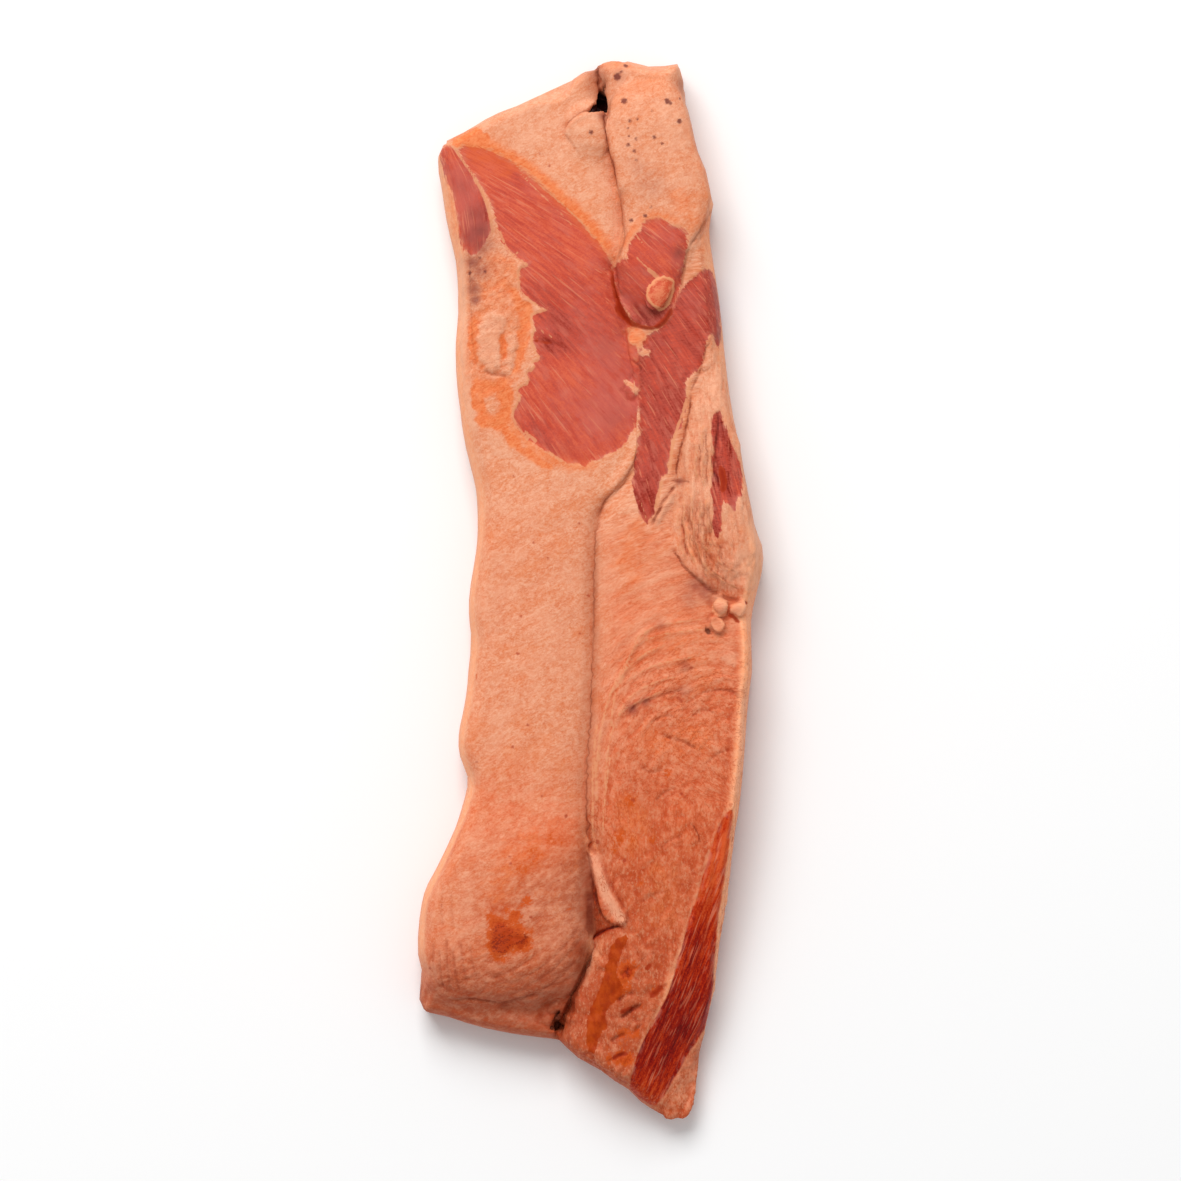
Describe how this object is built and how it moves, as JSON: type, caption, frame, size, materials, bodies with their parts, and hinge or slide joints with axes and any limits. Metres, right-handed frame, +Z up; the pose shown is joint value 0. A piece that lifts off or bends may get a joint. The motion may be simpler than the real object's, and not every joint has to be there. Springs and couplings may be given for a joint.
{
  "type": "smoked bacon slab",
  "caption": "Long slab of smoked pork belly with twin lobes of amber fat, a lengthwise seam, a folded head end and red lean showing through.",
  "frame": {"origin": "middle of the slab's outline, on the flat underside it rests on", "axes": "+Y along the slab towards the folded head end, +Z up out of the shown face, +X towards the lobe with the slanted lean strip"},
  "size_m": [0.173, 0.5324, 0.0469],
  "materials": {
    "smoked_meat": "waxy satin smoked fat with streaked red lean"
  },
  "bodies": {
    "root": {"bacon_slab": "smoked_meat"}
  },
  "joints": []
}
